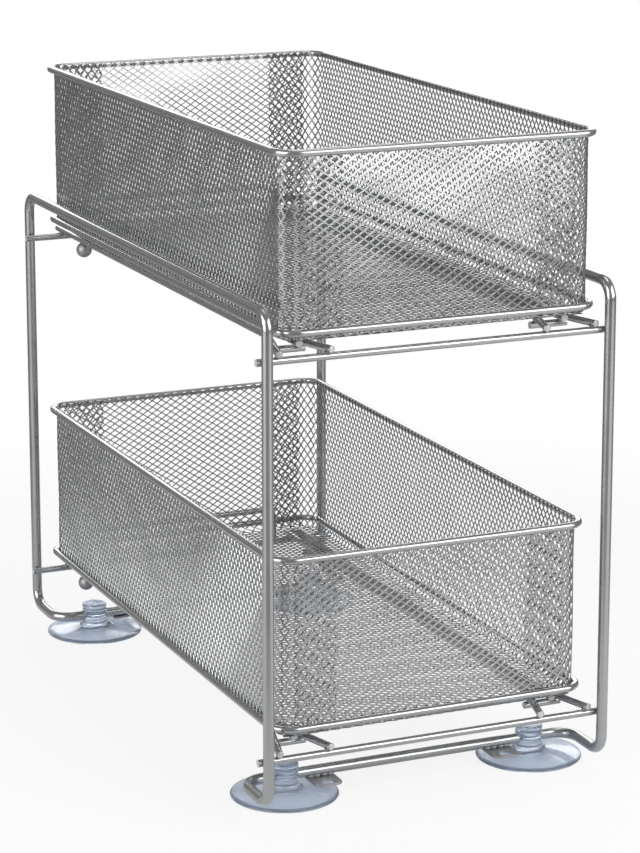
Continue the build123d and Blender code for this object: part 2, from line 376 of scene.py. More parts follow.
def select_marked(piece, kind, marks):
    """Opens the piece in edit mode with the marked vertices, edges or faces selected."""
    bpy.ops.object.mode_set(mode="EDIT")
    bpy.ops.mesh.select_mode(type=kind)
    bpy.ops.mesh.select_all(action="DESELECT")
    bpy.ops.object.mode_set(mode="OBJECT")
    mesh = piece.data
    parts = {"VERT": mesh.vertices, "EDGE": mesh.edges, "FACE": mesh.polygons}
    parts[kind].foreach_set("select", marks)
    bpy.ops.object.mode_set(mode="EDIT")


def modify(piece, kind, **settings):
    """Works the piece with one modifier and shades it again."""
    modifier = piece.modifiers.new(kind.lower(), kind)
    for name, value in settings.items():
        setattr(modifier, name, value)
    bpy.ops.object.modifier_apply(modifier=modifier.name)
    bpy.ops.object.shade_smooth_by_angle(angle=SMOOTH_ANGLE)


def cut_with(piece, tool):
    """Cuts the tool's shape out of the piece and throws the tool away."""
    choose(piece)
    modify(piece, "BOOLEAN", operation="DIFFERENCE", solver="EXACT", object=tool)
    bpy.data.objects.remove(tool)


def coordinates(piece):
    """The piece's vertices as rows of an array."""
    points = np.zeros(len(piece.data.vertices) * 3)
    piece.data.vertices.foreach_get("co", points)
    return points.reshape(-1, 3)


def copied(piece, name, matrix):
    """A copy with its own mesh, moved or mirrored."""
    choose(piece)
    bpy.ops.object.duplicate()
    copy = bpy.context.active_object
    copy.name = name
    copy.data.name = name
    copy.data.transform(matrix)
    if matrix.determinant() < 0:
        bpy.ops.object.mode_set(mode="EDIT")
        bpy.ops.mesh.select_all(action="SELECT")
        bpy.ops.mesh.normals_make_consistent(inside=False)
        bpy.ops.object.mode_set(mode="OBJECT")
    return copy


def seat(piece, node):
    """The piece stands for a node: it rides on the node's body, and the node is hidden."""
    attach(piece, body_of[node])
    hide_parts(node)


def repeat(model, source, turns, ending):
    """Seats the model on its own node and a copy on each of the others.

    Turns gives each other node the mirroring, in X and in Y, that makes it from the source.
    """
    for node, (in_x, in_y) in turns.items():
        matrix = Matrix.Translation(middle(node)) @ Matrix.Diagonal((in_x, in_y, 1, 1))
        copy = copied(model, f"{node}_{ending}", matrix @ Matrix.Translation(-middle(source)))
        seat(copy, node)
    seat(model, source)


def bent_wire(name, corners, bends, diameter, closed=False, sheared=True):
    """A round wire along straight runs and round bends. Sheared ends are square, with a burr."""
    sizes = bpy.context.scene.basket_wires
    piece = open_piece(name)
    corners = [Vector(corner) for corner in corners]
    at = corners[0]
    heading = (corners[1] - at).normalized()
    bpy.ops.mesh.primitive_circle_add(
        vertices=sizes.sides,
        radius=diameter / 2,
        location=at,
        rotation=heading.to_track_quat("Z", "Y").to_euler(),
    )
    for corner, following, bend in zip(corners[1:-1], corners[2:], bends):
        leaving = (following - corner).normalized()
        turn = heading.angle(leaving)
        setback = bend * math.tan(turn / 2)
        start = corner - heading * setback
        bpy.ops.mesh.extrude_region_move(TRANSFORM_OT_translate={"value": start - at})
        axis = heading.cross(leaving).normalized()
        # with no window a spin turns against its axis, so it is given the reversed one
        bpy.ops.mesh.spin(
            steps=max(3, round(math.degrees(turn) / 7.5)),
            angle=turn,
            center=start + axis.cross(heading) * bend,
            axis=-axis,
        )
        at = corner + leaving * setback
        heading = leaving
    bpy.ops.mesh.extrude_region_move(TRANSFORM_OT_translate={"value": corners[-1] - at})
    if closed:
        close_piece("silver_lacquered_wire")
        return piece
    bpy.ops.mesh.select_all(action="SELECT")
    bpy.ops.mesh.remove_doubles(threshold=SEAM)
    bpy.ops.mesh.fill_holes(sides=0)
    if sheared:
        bpy.ops.mesh.select_face_by_sides(number=4, type="GREATER", extend=False)
        bpy.ops.mesh.region_to_loop()
        bpy.ops.mesh.bevel(offset=sizes.burr, segments=3, affect="EDGES")
    close_piece("silver_lacquered_wire", "sheared_steel_end")
    for face in piece.data.polygons:
        face.material_index = 1 if len(face.vertices) > 4 else 0
    return piece


def straight_wire(name, node, along):
    """A straight wire that fills a node's box, along one axis."""
    centre, half = middle(node), extent(node) / 2
    reach = Vector([half[i] if i == along else 0 for i in range(3)])
    return bent_wire(name, [centre - reach, centre + reach], [], 2 * half[(along + 1) % 3])


# ---- operators

class BASKET_OT_frame_wires(bpy.types.Operator):
    """Bends the two halves of the frame's wire loop"""

    bl_idname = "cabinet_basket.frame_wires"
    bl_label = "Frame wires"

    def execute(self, context):
        sizes = context.scene.basket_wires
        radius = sizes.frame_wire / 2
        low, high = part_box("right_frame_wire")
        x, front, rear = high.x - radius, low.y + radius, high.y - radius
        base, top = low.z + radius, high.z - radius
        bar_front, bar_rear = (middle(f"{end}_right_suction_cup").y for end in ENDS)
        corners = [
            (low.x, bar_front, base),
            (x, bar_front, base),
            (x, front, base),
            (x, front, top),
            (x, rear, top),
            (x, rear, base),
            (x, bar_rear, base),
            (low.x, bar_rear, base),
        ]
        bends = [sizes.base_corner] + 4 * [sizes.frame_bend] + [sizes.base_corner]
        # the two halves are butt-welded and ground flush, so their ends have no burr
        wire = bent_wire("right_frame_wire_bend", corners, bends, sizes.frame_wire, sheared=False)
        repeat(wire, "right_frame_wire", {"left_frame_wire": (-1, 1)}, "bend")
        return {"FINISHED"}


class BASKET_OT_cross_bars(bpy.types.Operator):
    """Cuts the four cross bars and the four short tie bars"""

    bl_idname = "cabinet_basket.cross_bars"
    bl_label = "Cross bars"

    def execute(self, context):
        for family in ("cross_bar", "tie_bar"):
            nodes = sorted(node for node in body_of if node.endswith(family))
            bar = straight_wire(f"{nodes[0]}_wire", nodes[0], 0)
            repeat(bar, nodes[0], {node: (1, 1) for node in nodes[1:]}, "wire")
        return {"FINISHED"}


class BASKET_OT_rails(bpy.types.Operator):
    """Bends the eight rails, two to a groove, with their spread front ends"""

    bl_idname = "cabinet_basket.rails"
    bl_label = "Rails"

    def execute(self, context):
        sizes = context.scene.basket_wires
        source = "lower_right_outer_rail"
        height = middle(source).z
        straight = middle("lower_right_runner").x + sizes.rail_spacing / 2
        front = middle("lower_front_cross_bar").y - sizes.rail_front
        corners = [
            (straight + sizes.flare_spread, front, height),
            (straight, front + sizes.flare_length, height),
            (straight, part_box(source)[1].y, height),
        ]
        rail = bent_wire(f"{source}_wire", corners, [sizes.flare_bend], sizes.thin_wire)
        turns = {}
        for tier in TIERS:
            for side, across in SIDES.items():
                turns[f"{tier}_{side}_outer_rail"] = (across, 1)
                turns[f"{tier}_{side}_inner_rail"] = (-across, 1)
        del turns[source]
        repeat(rail, source, turns, "wire")
        return {"FINISHED"}


class BASKET_OT_stop_loops(bpy.types.Operator):
    """Bends the two loops that stop the baskets at the rear"""

    bl_idname = "cabinet_basket.stop_loops"
    bl_label = "Stop loops"

    def execute(self, context):
        sizes = context.scene.basket_wires
        radius = sizes.thin_wire / 2
        low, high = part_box("lower_stop_loop")
        y = middle("lower_stop_loop").y
        left, right, top = low.x + radius, high.x - radius, high.z - radius
        corners = [(left, y, low.z), (left, y, top), (right, y, top), (right, y, low.z)]
        loop = bent_wire("lower_stop_loop_wire", corners, 2 * [sizes.loop_bend], sizes.thin_wire)
        repeat(loop, "lower_stop_loop", {"upper_stop_loop": (1, 1)}, "wire")
        return {"FINISHED"}


class BASKET_OT_screw_tabs(bpy.types.Operator):
    """Presses the four screw tabs under the base bars"""

    bl_idname = "cabinet_basket.screw_tabs"
    bl_label = "Screw tabs"

    def execute(self, context):
        sizes = context.scene.basket_tabs
        source = "front_right_screw_tab"
        centre = middle(source)
        tab = open_piece(f"{source}_plate")
        bpy.ops.mesh.primitive_cube_add(size=1, location=centre)
        bpy.ops.transform.resize(value=extent(source), center_override=centre)
        bpy.ops.object.mode_set(mode="OBJECT")
        free = []
        for edge in tab.data.edges:
            first, second = (tab.data.vertices[i].co for i in edge.vertices)
            free.append((first.xy - second.xy).length < SEAM and first.y < centre.y)
        select_marked(tab, "EDGE", free)
        bpy.ops.mesh.bevel(offset=sizes.corner, segments=8, affect="EDGES")
        close_piece("zinc_plated_sheet_steel")
        punch = open_piece("screw_hole_punch")
        bar_y = middle("front_right_suction_cup").y
        bpy.ops.mesh.primitive_cylinder_add(
            vertices=HOLE_STEPS,
            radius=sizes.hole / 2,
            depth=4 * extent(source).z,
            location=(centre.x, bar_y - sizes.hole_reach, centre.z),
        )
        bpy.ops.object.mode_set(mode="OBJECT")
        cut_with(tab, punch)
        sharp = {"limit_method": "ANGLE", "angle_limit": math.radians(50)}
        modify(tab, "BEVEL", width=sizes.edge, segments=2, **sharp)
        turns = {f"{corner}_screw_tab": turn for corner, turn in CORNERS.items()}
        repeat(tab, source, turns, "plate")
        return {"FINISHED"}


# A cup's section from the middle of its top, down the ribbed stem and the disc, and back under it.
# Millimetres from the stem's axis and above the floor.
CUP_SECTION = (
    (0, 17.1), (3.6, 17.25), (5.6, 17.9), (6.5, 18.0), (7.3, 17.6), (7.65, 16.9), (7.5, 16.2),
    (6.7, 15.8), (6.7, 15.4), (7.6, 15.0), (7.65, 14.4), (6.75, 14.0), (6.75, 13.6), (7.65, 13.2),
    (7.7, 12.6), (6.8, 12.2), (6.8, 11.8), (7.7, 11.4), (7.75, 10.8), (6.85, 10.4), (6.85, 10.0),
    (7.7, 9.6), (7.6, 8.8), (7.65, 7.4), (8.0, 6.0), (8.8, 5.1), (10.6, 4.6), (14, 4.0), (20, 2.95),
    (26, 1.9), (28.6, 1.4), (29.3, 1.05), (29.5, 0.6), (29.3, 0.15), (28.7, 0), (27.4, 0),
    (24, 0.55), (18, 1.5), (11, 2.2), (5, 2.4), (0, 2.4),
)


class BASKET_OT_suction_cups(bpy.types.Operator):
    """Turns the four suction cups from their section and bores them for the base bars"""

    bl_idname = "cabinet_basket.suction_cups"
    bl_label = "Suction cups"

    def execute(self, context):
        sizes = context.scene.basket_cups
        wire = context.scene.basket_wires.frame_wire
        source = "front_right_suction_cup"
        centre = middle(source)
        bar_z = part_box("right_frame_wire")[0].z + wire / 2
        cup = open_piece(f"{source}_moulding")
        section = [Vector((centre.x + out * MM, centre.y, up * MM)) for out, up in CUP_SECTION]
        bpy.ops.mesh.primitive_circle_add(vertices=3, radius=SEAM, location=section[0])
        bpy.ops.mesh.merge(type="CENTER")
        for start, stop in zip(section, section[1:]):
            bpy.ops.mesh.extrude_region_move(TRANSFORM_OT_translate={"value": stop - start})
        bpy.ops.mesh.select_all(action="SELECT")
        bpy.ops.mesh.spin(steps=sizes.steps, angle=2 * math.pi, center=centre, axis=(0, 0, 1))
        close_piece("clear_soft_vinyl")
        bore = open_piece("base_bar_bore")
        bpy.ops.mesh.primitive_cylinder_add(
            vertices=HOLE_STEPS,
            radius=wire / 2 + sizes.clearance,
            depth=sizes.bore,
            location=(centre.x, centre.y, bar_z),
            rotation=(0, math.radians(90), 0),
        )
        bpy.ops.object.mode_set(mode="OBJECT")
        cut_with(cup, bore)
        turns = {f"{corner}_suction_cup": turn for corner, turn in CORNERS.items()}
        repeat(cup, source, turns, "moulding")
        return {"FINISHED"}


def expanded_sheet(name, columns, rows, pitch_x, pitch_y, short_axis, tilt):
    """A flat sheet of expanded mesh, its strands tilted as the press leaves them.

    Every cell of a grid is poked, so that what lies between two middles is a diamond. Each
    diamond is inset by half a strand and opened.
    """
    sizes = bpy.context.scene.basket_mesh
    sheet = open_piece(name)
    reach = (columns * pitch_x / 2, rows * pitch_y / 2)
    bpy.ops.mesh.primitive_grid_add(
        x_subdivisions=columns, y_subdivisions=rows, size=2, location=(0, 0, 0)
    )
    bpy.ops.transform.resize(value=(*reach, 1), center_override=(0, 0, 0))
    bpy.ops.mesh.poke()
    bpy.ops.object.mode_set(mode="OBJECT")
    points = coordinates(sheet)[:, :2]
    ends = np.zeros(len(sheet.data.edges) * 2, int)
    sheet.data.edges.foreach_get("vertices", ends)
    first, second = points[ends[0::2]], points[ends[1::2]]
    level = np.abs(first - second) < SEAM
    outside = level & (np.abs(np.abs(first) - reach) < SEAM)
    select_marked(sheet, "EDGE", level.any(axis=1) & ~outside.any(axis=1))
    bpy.ops.mesh.dissolve_edges(use_verts=False)
    bpy.ops.mesh.select_mode(type="FACE")
    bpy.ops.mesh.select_all(action="SELECT")
    bpy.ops.mesh.inset(thickness=sizes.strand / 2, use_individual=True)
    bpy.ops.mesh.delete(type="FACE")
    # the strip along the outline goes too, so that half diamonds of two sheets meet as whole ones
    bpy.ops.object.mode_set(mode="OBJECT")
    at_edge = (np.abs(np.abs(coordinates(sheet)[:, :2]) - reach) < SEAM).any(axis=1)
    outline = [sum(at_edge[i] for i in face.vertices) > 1 for face in sheet.data.polygons]
    select_marked(sheet, "FACE", np.array(outline))
    bpy.ops.mesh.delete(type="FACE")
    half = np.array((pitch_x, pitch_y)) / 2
    for lift in (1, -1):
        bpy.ops.object.mode_set(mode="OBJECT")
        points = coordinates(sheet)[:, :2]
        off = points + reach - np.round((points + reach) / half) * half
        crossing = np.abs(off[:, 1 - short_axis]) < SEAM
        select_marked(sheet, "VERT", crossing & (off[:, short_axis] * lift > SEAM))
        bpy.ops.transform.translate(value=(0, 0, lift * tilt))
    bpy.ops.object.mode_set(mode="OBJECT")
    sheet.data.materials.append(finish("silver_lacquered_expanded_steel"))
    return sheet


def smooth_step(value):
    """0 below 0, 1 above 1, and a soft rise between."""
    value = np.clip(value, 0, 1)
    return value * value * (3 - 2 * value)


MESH_LIP = 1.5 * MM  # the mesh ends this far above the top rim's middle
LAP_RUN = 5 * MM  # a side wall's flap slips behind the end wall over this length
WALL_WAVES = (13 * MM, 11 * MM)  # lengths of the sheets' unevenness, over 2 pi
FLOOR_WAVES = (17 * MM, 23 * MM)


class TrayForm:
    """The form that a tray's sheets are pressed round: distances from the tray's middle."""

    def __init__(self, tier):
        sizes = bpy.context.scene.basket_mesh
        wires = bpy.context.scene.basket_wires
        node = f"{tier}_mesh_tray"
        self.sizes = sizes
        self.centre = middle(node)
        inside = sizes.thickness / 2 + sizes.side_tilt
        self.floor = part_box(node)[0].z + inside
        top = middle(f"{tier}_top_rim").z + MESH_LIP
        self.across = extent(node).x / 2 - inside
        self.along = extent(node).y / 2 - inside
        self.corner = wires.rim_corner - wires.thin_wire / 2 - inside
        self.arc = sizes.fold * math.pi / 2
        self.height = self.arc + top - self.floor - sizes.fold
        self.phase = 1.7 * TIERS.index(tier)  # so that the two trays' dents differ

    def wall(self, run, rise, out, plane, straight, lapping):
        """Presses part of a sheet into a wall and the fold under it.

        Run is along the wall, rise up the sheet from the floor, out towards the outside. The
        result is along the wall, outwards from the tray's middle, and up.
        """
        sizes = self.sizes
        beyond = np.abs(run) - straight
        turn_length = self.corner * math.pi / 2
        lap = lapping * smooth_step((beyond - turn_length + LAP_RUN) / LAP_RUN)
        out = out - lap * sizes.lap
        angle = np.clip(rise / sizes.fold, 0, math.pi / 2)
        up = np.maximum(rise - self.arc, 0)
        level = np.clip(up / (self.height - self.arc), 0, 1)
        bow = np.sin(math.pi * level**0.75) * (1 - np.clip(np.abs(run) / straight, 0, 1) ** 4)
        wave = np.sin(run / WALL_WAVES[0] + self.phase)
        wave = wave * np.sin(rise / WALL_WAVES[1] + 1 + self.phase)
        wave = wave * smooth_step(rise / self.arc) * (1 - smooth_step((level - 0.8) / 0.2))
        bowed = sizes.bulge * bow + sizes.wave * wave * (1 - lap)
        outward = bowed - sizes.fold * (1 - np.sin(angle)) + out * np.sin(angle)
        height = self.floor + sizes.fold * (1 - np.cos(angle)) + up - out * np.cos(angle)
        bend = np.clip(beyond / self.corner, 0, math.pi / 2)
        radius = self.corner + outward
        past = np.maximum(beyond - turn_length, 0)
        side = np.sign(run)
        along = np.where(beyond > 0, side * (straight + radius * np.sin(bend)), run)
        turned = plane - self.corner + radius * np.cos(bend) - past
        depth = np.where(beyond > 0, turned, plane + outward)
        return along, depth, height


class BASKET_OT_mesh_trays(bpy.types.Operator):
    """Makes the two trays of expanded mesh: a floor with both end walls, and two side walls"""

    bl_idname = "cabinet_basket.mesh_trays"
    bl_label = "Mesh trays"

    def execute(self, context):
        sizes = context.scene.basket_mesh
        form = TrayForm("lower")
        wide = 2 * (form.across - sizes.fold)
        deep = 2 * (form.along - sizes.fold)
        pitch_x = wide / sizes.across
        pitch_y = deep / sizes.along
        rows = sizes.along + 2 * sizes.end_rows
        middle_sheet = expanded_sheet(
            "tray_middle_sheet", sizes.across, rows, pitch_x, pitch_y, 1, sizes.floor_tilt
        )
        columns = sizes.along + 2 * sizes.flap
        side_rows = math.ceil(form.height / sizes.long_way)
        side_sheet = expanded_sheet(
            "tray_side_sheet", columns, side_rows, pitch_y, sizes.long_way, 0, sizes.side_tilt
        )
        bpy.ops.object.mode_set(mode="EDIT")
        bpy.ops.mesh.select_all(action="SELECT")
        side_bottom = -side_rows * sizes.long_way / 2
        bpy.ops.mesh.bisect(
            plane_co=(0, side_bottom + form.height, 0), plane_no=(0, 1, 0), clear_outer=True
        )
        bpy.ops.object.mode_set(mode="OBJECT")
        for tier in TIERS:
            form = TrayForm(tier)
            node = f"{tier}_mesh_tray"
            piece = copied(middle_sheet, f"{tier}_floor_and_end_mesh", Matrix.Identity(4))
            run, rise, lift = coordinates(piece).T
            on_wall = np.abs(rise) > deep / 2
            end = np.sign(rise)
            climbed = (np.abs(rise) - deep / 2) * form.height / (sizes.end_rows * pitch_y)
            run = run * (1 - (1 - sizes.end_share) * smooth_step(climbed / form.arc))
            straight = form.across - form.corner
            rising = np.maximum(climbed, 0)
            along, depth, height = form.wall(run, rising, lift, form.along, straight, 0)
            ripple = np.sin(run / FLOOR_WAVES[0]) * np.sin(rise / FLOOR_WAVES[1] + form.phase)
            still = np.clip(np.abs(run) / (wide / 2), 0, 1) ** 4
            still = still + np.clip(np.abs(rise) / (deep / 2), 0, 1) ** 8
            flat = form.floor + sizes.wave * (1 + ripple) * np.clip(1 - still, 0, 1) - lift
            pressed = np.where(on_wall, (along, end * depth, height), (run, rise, flat))
            self.press(piece, pressed, form)
            seat(piece, node)
            side = copied(side_sheet, f"{tier}_right_side_mesh", Matrix.Identity(4))
            run, rise, out = coordinates(side).T
            straight = form.along - form.corner
            rising = rise - side_bottom
            along, depth, height = form.wall(run, rising, out, form.across, straight, 1)
            self.press(side, np.array((depth, along, height)), form)
            left = copied(side, f"{tier}_left_side_mesh", Matrix.Diagonal((-1, 1, 1, 1)))
            for wall in (side, left):
                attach(wall, body_of[node])
        for sheet in (middle_sheet, side_sheet):
            bpy.data.objects.remove(sheet)
        return {"FINISHED"}

    def press(self, piece, pressed, form):
        """Moves a sheet to its pressed form and gives it its thickness."""
        points = pressed.T + np.array((form.centre.x, form.centre.y, 0))
        piece.data.vertices.foreach_set("co", points.ravel())
        piece.data.update()
        bpy.ops.object.mode_set(mode="EDIT")
        bpy.ops.mesh.select_all(action="SELECT")
        bpy.ops.mesh.remove_doubles(threshold=SEAM)
        bpy.ops.mesh.normals_make_consistent(inside=False)
        bpy.ops.object.mode_set(mode="OBJECT")
        modify(piece, "SOLIDIFY", thickness=form.sizes.thickness, offset=0)


class BASKET_OT_rims(bpy.types.Operator):
    """Bends the four rims round the trays"""

    bl_idname = "cabinet_basket.rims"
    bl_label = "Rims"

    def execute(self, context):
        sizes = context.scene.basket_wires
        radius = sizes.thin_wire / 2
        source = "lower_top_rim"
        centre, half = middle(source), extent(source) / 2
        x, y, z = half.x - radius, half.y - radius, centre.z
        around = [(0, 1), (-1, 1), (-1, -1), (1, -1), (1, 1), (0, 1)]
        corners = [(centre.x + across * x, centre.y + along * y, z) for across, along in around]
        bends = 4 * [sizes.rim_corner]
        rim = bent_wire(f"{source}_wire", corners, bends, sizes.thin_wire, closed=True)
        others = ("lower_bottom_rim", "upper_top_rim", "upper_bottom_rim")
        repeat(rim, source, {node: (1, 1) for node in others}, "wire")
        return {"FINISHED"}


class BASKET_OT_runners(bpy.types.Operator):
    """Makes the runners under the trays and their stop buttons"""

    bl_idname = "cabinet_basket.runners"
    bl_label = "Runners and stop buttons"

    def execute(self, context):
        sizes = context.scene.basket_tabs
        nodes = sorted(node for node in body_of if node.endswith("_runner"))
        runner = straight_wire(f"{nodes[0]}_wire", nodes[0], 1)
        repeat(runner, nodes[0], {node: (1, 1) for node in nodes[1:]}, "wire")
        nodes = sorted(node for node in body_of if node.endswith("_stop_button"))
        low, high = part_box(nodes[0])
        radius = (high.y - low.y) / 2
        centre = middle(nodes[0])
        button = open_piece(f"{nodes[0]}_ball")
        ball = Vector((centre.x, centre.y, low.z + radius))
        bpy.ops.mesh.primitive_uv_sphere_add(
            segments=32, ring_count=20, radius=radius, location=ball
        )
        neck_foot = ball.z + 0.8 * radius  # a little inside the ball
        bpy.ops.mesh.select_all(action="DESELECT")
        neck_middle = (centre.x, centre.y, (neck_foot + high.z) / 2)
        bpy.ops.mesh.primitive_cube_add(size=1, location=neck_middle)
        neck = (sizes.neck_thickness, sizes.neck_width, high.z - neck_foot)
        bpy.ops.transform.resize(value=neck, center_override=neck_middle)
        bpy.ops.mesh.bevel(offset=sizes.edge, segments=2, affect="EDGES")
        close_piece("lacquered_weld_metal")
        repeat(button, nodes[0], {node: (1, 1) for node in nodes[1:]}, "ball")
        return {"FINISHED"}


# How a weld bead is stretched in X, Y and Z, by what it joins.
POST_BEAD = (1.0, 0.55, 1.3)
RAIL_BEAD = (1.2, 1.2, 0.5)
LOOP_BEAD = (1.3, 0.5, 1.0)
TAB_BEAD = (1.3, 0.5, 0.6)
TAB_BEAD_PLACES = (-6 * MM, -2.2 * MM, 2 * MM, 5.5 * MM)  # along a tab's welded edge
TAB_BEAD_RISE = 0.6 * MM


class BASKET_OT_weld_beads(bpy.types.Operator):
    """Sets the weld beads where wires meet"""

    bl_idname = "cabinet_basket.weld_beads"
    bl_label = "Weld beads"

    def execute(self, context):
        sizes = context.scene.basket_wires
        half = sizes.thin_wire / 2
        thick = sizes.frame_wire / 2
        spots = []
        for tier in TIERS:
            for end, towards in ENDS.items():
                bar = middle(f"{tier}_{end}_cross_bar")
                for side, across in SIDES.items():
                    post = across * (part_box("right_frame_wire")[1].x - thick)
                    spots.append(((post, bar.y + towards * half, bar.z), POST_BEAD))
                    groove = middle(f"{tier}_{side}_runner").x
                    carriers = [bar] if end == "rear" else [bar, middle(f"{tier}_{side}_tie_bar")]
                    for carrier in carriers:
                        off = sizes.rail_spacing / 2 + self.spread(sizes, carrier.y)
                        for x in (groove - off, groove + off):
                            spots.append(((x, carrier.y, carrier.z + half), RAIL_BEAD))
            low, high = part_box(f"{tier}_stop_loop")
            bar = middle(f"{tier}_rear_cross_bar")
            for x in (low.x + half, high.x - half):
                spots.append(((x, bar.y + half, bar.z), LOOP_BEAD))
        for end, towards in ENDS.items():
            for side in SIDES:
                tab = f"{end}_{side}_screw_tab"
                y = middle(f"{end}_{side}_suction_cup").y + towards * 0.75 * thick
                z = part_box(tab)[1].z + TAB_BEAD_RISE
                for along in TAB_BEAD_PLACES:
                    spots.append(((middle(tab).x + along, y, z), TAB_BEAD))
        beads = open_piece("frame_weld_beads")
        for place, stretch in spots:
            bpy.ops.mesh.select_all(action="DESELECT")
            bpy.ops.mesh.primitive_uv_sphere_add(
                segments=12, ring_count=8, radius=sizes.bead, location=place
            )
            bpy.ops.transform.resize(value=stretch, center_override=place)
        close_piece("lacquered_weld_metal")
        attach(beads, "frame")
        return {"FINISHED"}

    def spread(self, sizes, y):
        """How far the rails have moved off their groove at y."""
        front = middle("lower_front_cross_bar").y - sizes.rail_front
        return sizes.flare_spread * max(0, 1 - (y - front) / sizes.flare_length)


# Metres: where each lamp stands, how wide and how tall it is, and the setting with its power.
LAMPS = {
    "front_right_softbox": ((1.15, -1.44, 1.1), 1.95, 1.4, "key"),
    "left_softbox": ((-2.0, -0.6, 0.98), 1.9, 1.7, "fill"),
    "overhead_softbox": ((0.3, 0.2, 2.1), 1.0, 1.0, "top"),
    "rear_softbox": ((0.85, 1.95, 0.95), 2.2, 0.9, "rear"),
}
LAMP_AIM = Vector((0, 0, 0.17))

FLOOR_RADIUS = 6
FLOOR_DROP = 0.05 * MM  # keeps the floor clear of the cups' undersides
SHADOW_SHARE = (0.2, 0.7, 0.85, 1.0)  # seen as plain white: 0.85 up to 0.2 m, all from 0.7 m
PAPER_EDGE = (0.2, 0.6)  # the white paper gives way to the studio floor between these distances

# Painted pools of light: where the grey studio floor is kept pale far from the basket, as azimuths
# from the front, and how far to the sides. The posts and front walls mirror them as bright bands.
PAINTED_LIGHT_POOL_AZIMUTHS = (math.radians(-76), math.radians(27))
PAINTED_LIGHT_POOL_INSIDE = math.radians(12)
PAINTED_LIGHT_POOL_OUTSIDE = math.radians(32)

# The camera, fitted to the photograph. Azimuth from the front, towards the right.
CAMERA_AZIMUTH = math.radians(-23.724)
CAMERA_ELEVATION = math.radians(12.348)
CAMERA_AIM = Vector((14.133, 0, 220.521)) * MM
CAMERA_DISTANCE = 1720.986 * MM
CAMERA_SHIFT = -0.12


